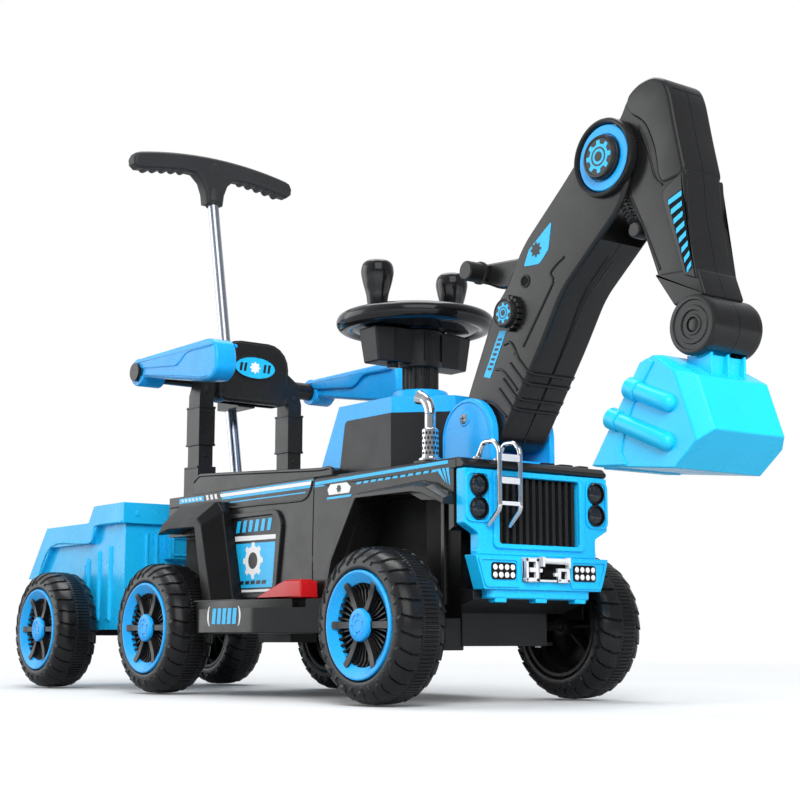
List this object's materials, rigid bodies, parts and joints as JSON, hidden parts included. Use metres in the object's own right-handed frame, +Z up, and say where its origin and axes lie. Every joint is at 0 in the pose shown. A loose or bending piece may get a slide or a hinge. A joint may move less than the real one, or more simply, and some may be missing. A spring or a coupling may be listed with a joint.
{
  "type": "ride-on digger",
  "caption": "Child ride-on digger with front boom and bucket, steering wheel on a console, seat with arm rests, push handle and a hitched tipper trailer.",
  "frame": {"origin": "middle of the footprint on the ground, on the centre plane", "axes": "+Z up, nose and bucket towards -Y, trailer towards +Y, the rider's right hand side towards -X"},
  "size_m": [0.3528, 1.378, 0.7883],
  "materials": {
    "black_plastic": "satin gloss",
    "satin_plastic": "fine satin",
    "blue_plastic": "gloss",
    "cyan_plastic": "gloss",
    "red_plastic": "gloss",
    "tyre_plastic": "satin blow moulding",
    "lens_plastic": "high gloss",
    "chrome_plate": "polished",
    "steel": "bright"
  },
  "bodies": {
    "machine": {"chassis_frame": "satin_plastic", "body_shell": "black_plastic", "hood_cover": "black_plastic", "side_step_right": "black_plastic", "side_step_left": "black_plastic", "seat": "black_plastic", "rear_axle": "steel", "drive_gearbox": "satin_plastic", "battery_pack": "satin_plastic", "fascia": "blue_plastic", "grille_panel": "black_plastic", "headlamp_right": "lens_plastic", "headlamp_left": "lens_plastic", "bumper": "blue_plastic", "winch_block": "chrome_plate", "hood_ladder": "chrome_plate", "exhaust_stack": "chrome_plate", "console_shell": "blue_plastic", "console_core": "black_plastic", "boom_bracket": "blue_plastic", "bracket_pin": "steel", "backrest_frame": "black_plastic"},
    "pedal": {"foot_pedal": "red_plastic"},
    "steering": {"steering_column": "black_plastic", "sound_box": "satin_plastic", "steering_wheel": "black_plastic", "wheel_grip_right": "black_plastic", "wheel_grip_left": "black_plastic"},
    "steer_right": {"knuckle_right": "steel"},
    "steer_left": {"knuckle_left": "steel"},
    "track_rod": {"tie_rod": "steel"},
    "boom": {"boom_shell_right": "black_plastic", "boom_shell_left": "black_plastic", "boom_handle": "black_plastic", "elbow_pin": "steel", "elbow_cap_right": "blue_plastic", "elbow_cap_left": "blue_plastic"},
    "stick": {"stick_shell_right": "black_plastic", "stick_shell_left": "black_plastic", "stick_spring": "black_plastic", "bucket_pin": "steel"},
    "bucket": {"bucket": "cyan_plastic"},
    "rest_right": {"armrest_right": "blue_plastic"},
    "rest_left": {"armrest_left": "blue_plastic"},
    "push_handle": {"handle_tube": "chrome_plate", "handle_grip": "satin_plastic"},
    "trailer": {"trailer_tub": "blue_plastic", "trailer_frame": "satin_plastic"},
    "wheel_front_right": {"tyre_front_right": "tyre_plastic", "rim_front_right": "blue_plastic"},
    "wheel_front_left": {"tyre_front_left": "tyre_plastic", "rim_front_left": "blue_plastic"},
    "wheel_rear_right": {"tyre_rear_right": "tyre_plastic", "rim_rear_right": "blue_plastic"},
    "wheel_rear_left": {"tyre_rear_left": "tyre_plastic", "rim_rear_left": "blue_plastic"},
    "wheel_trailer_right": {"tyre_trailer_right": "tyre_plastic", "rim_trailer_right": "blue_plastic"},
    "wheel_trailer_left": {"tyre_trailer_left": "tyre_plastic", "rim_trailer_left": "blue_plastic"}
  },
  "joints": [
    {"name": "steering_turn", "type": "hinge", "parent": "machine", "child": "steering", "pos_m": [0, -0.182, 0.35], "axis": [0, 0, 1], "range_deg": [-45, 45]},
    {"name": "steer_right_turn", "type": "hinge", "parent": "machine", "child": "steer_right", "pos_m": [-0.084, -0.296, 0.085], "axis": [0, 0, 1], "range_deg": [-18.5, 18.5]},
    {"name": "steer_left_turn", "type": "hinge", "parent": "machine", "child": "steer_left", "pos_m": [0.084, -0.296, 0.085], "axis": [0, 0, 1], "range_deg": [-18.5, 18.5]},
    {"name": "track_rod_slide", "type": "slide", "parent": "machine", "child": "track_rod", "axis": [1, 0, 0], "range_m": [-0.0072, 0.0072]},
    {"name": "wheel_front_right_spin", "type": "hinge", "parent": "steer_right", "child": "wheel_front_right", "pos_m": [-0.144, -0.296, 0.085], "axis": [1, 0, 0], "continuous": true},
    {"name": "wheel_front_left_spin", "type": "hinge", "parent": "steer_left", "child": "wheel_front_left", "pos_m": [0.144, -0.296, 0.085], "axis": [1, 0, 0], "continuous": true},
    {"name": "wheel_rear_right_spin", "type": "hinge", "parent": "machine", "child": "wheel_rear_right", "pos_m": [-0.144, 0.1816, 0.085], "axis": [1, 0, 0], "continuous": true},
    {"name": "wheel_rear_left_spin", "type": "hinge", "parent": "machine", "child": "wheel_rear_left", "pos_m": [0.144, 0.1816, 0.085], "axis": [1, 0, 0], "continuous": true},
    {"name": "wheel_trailer_right_spin", "type": "hinge", "parent": "trailer", "child": "wheel_trailer_right", "pos_m": [-0.144, 0.513, 0.085], "axis": [1, 0, 0], "continuous": true},
    {"name": "wheel_trailer_left_spin", "type": "hinge", "parent": "trailer", "child": "wheel_trailer_left", "pos_m": [0.144, 0.513, 0.085], "axis": [1, 0, 0], "continuous": true},
    {"name": "boom_lift", "type": "hinge", "parent": "machine", "child": "boom", "pos_m": [0, -0.322, 0.314], "axis": [-1, 0, 0], "range_deg": [-20, 10]},
    {"name": "stick_swing", "type": "hinge", "parent": "boom", "child": "stick", "pos_m": [0, -0.539, 0.564], "axis": [-1, 0, 0], "range_deg": [-8, 35]},
    {"name": "bucket_curl", "type": "hinge", "parent": "stick", "child": "bucket", "pos_m": [0, -0.6505, 0.3698], "axis": [-1, 0, 0], "range_deg": [-26, 30]},
    {"name": "armrest_right_lift", "type": "hinge", "parent": "machine", "child": "rest_right", "pos_m": [-0.1425, 0.246, 0.4335], "axis": [-1, 0, 0], "range_deg": [0, 85]},
    {"name": "armrest_left_lift", "type": "hinge", "parent": "machine", "child": "rest_left", "pos_m": [0.1425, 0.246, 0.4335], "axis": [-1, 0, 0], "range_deg": [0, 85]},
    {"name": "pedal_press", "type": "hinge", "parent": "machine", "child": "pedal", "pos_m": [-0.124, -0.034, 0.118], "axis": [1, 0, 0], "range_deg": [0, 5], "stiffness_Nm_per_rad": 3, "springref_deg": -2.86},
    {"name": "handle_pull", "type": "slide", "parent": "machine", "child": "push_handle", "axis": [0, 0.1911, 0.9816], "range_m": [0, 0.05]},
    {"name": "hitch_swing", "type": "hinge", "parent": "machine", "child": "trailer", "pos_m": [0, 0.294, 0.088], "axis": [0, 0, 1], "range_deg": [-35, 35]}
  ],
  "couplings": [
    {"joint": "steer_right_turn", "follows": "steering_turn", "ratio": 0.4},
    {"joint": "steer_left_turn", "follows": "steering_turn", "ratio": 0.4},
    {"joint": "track_rod_slide", "follows": "steering_turn", "m_per_rad": -0.0088}
  ]
}
